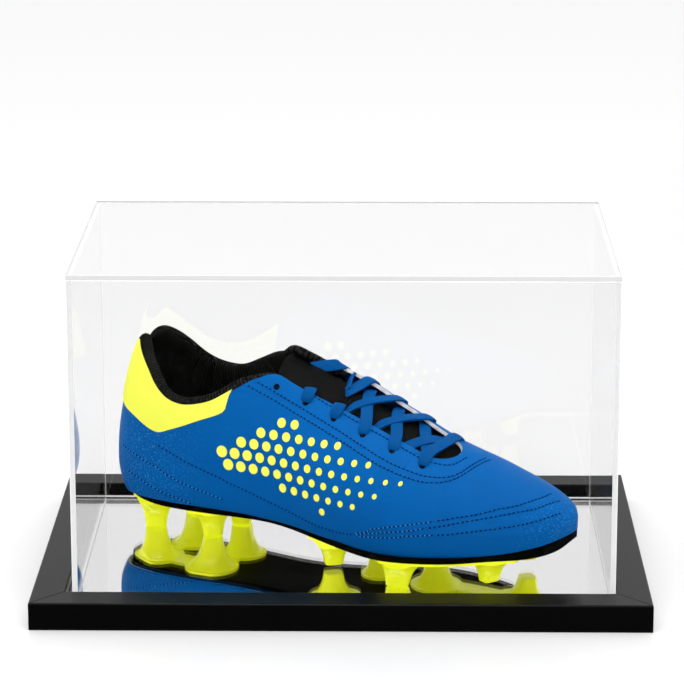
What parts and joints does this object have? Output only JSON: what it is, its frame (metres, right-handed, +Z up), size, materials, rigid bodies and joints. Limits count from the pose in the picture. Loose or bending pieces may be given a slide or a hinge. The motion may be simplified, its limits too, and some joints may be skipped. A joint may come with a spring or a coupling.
{
  "type": "football boot display case",
  "caption": "Clear lift-off cover standing on a mirror base in a black mitred rail, showing a studded football boot.",
  "frame": {"origin": "middle of the underside of the base rail, on the surface that the case stands on", "axes": "+X to the right along the front rail, +Y from the front to the back, +Z up"},
  "size_m": [0.35, 0.232, 0.1996],
  "materials": {
    "rail_black": "black satin lacquer",
    "fastener_steel": "plain",
    "board": "raw fibreboard",
    "mirror": "silvered",
    "acrylic": "clear, polished edges",
    "upper_blue": "fine grained synthetic leather",
    "heel_yellow": "smooth synthetic leather",
    "lining_black": "ribbed mesh",
    "tongue_black": "mesh",
    "label_black": "smooth",
    "lace_blue": "flat woven",
    "sockliner_grey": "brushed cloth",
    "sole_black": "moulded, fine texture",
    "stud_lime": "moulded"
  },
  "bodies": {
    "base": {"rail_front": "rail_black", "rail_back": "rail_black", "rail_left": "rail_black", "rail_right": "rail_black", "corner_wedges": "fastener_steel", "frame_points": "fastener_steel", "base_board": "board", "mirror_sheet": "mirror", "boot_vamp": "upper_blue", "boot_quarter_outer": "upper_blue", "boot_quarter_inner": "upper_blue", "boot_heel_panel": "heel_yellow", "boot_collar_lining": "lining_black", "boot_tongue": "tongue_black", "boot_tongue_label": "label_black", "boot_lace": "lace_blue", "boot_sockliner": "sockliner_grey", "boot_sole_plate": "sole_black", "boot_heel_studs": "stud_lime", "boot_waist_studs": "stud_lime", "boot_fore_studs": "stud_lime"},
    "cover": {"cover_front_panel": "acrylic", "cover_back_panel": "acrylic", "cover_left_panel": "acrylic", "cover_right_panel": "acrylic", "cover_top_panel": "acrylic"}
  },
  "joints": [
    {"name": "cover_lift", "type": "slide", "parent": "base", "child": "cover", "axis": [0, 0, 1], "range_m": [0, 0.2]}
  ]
}
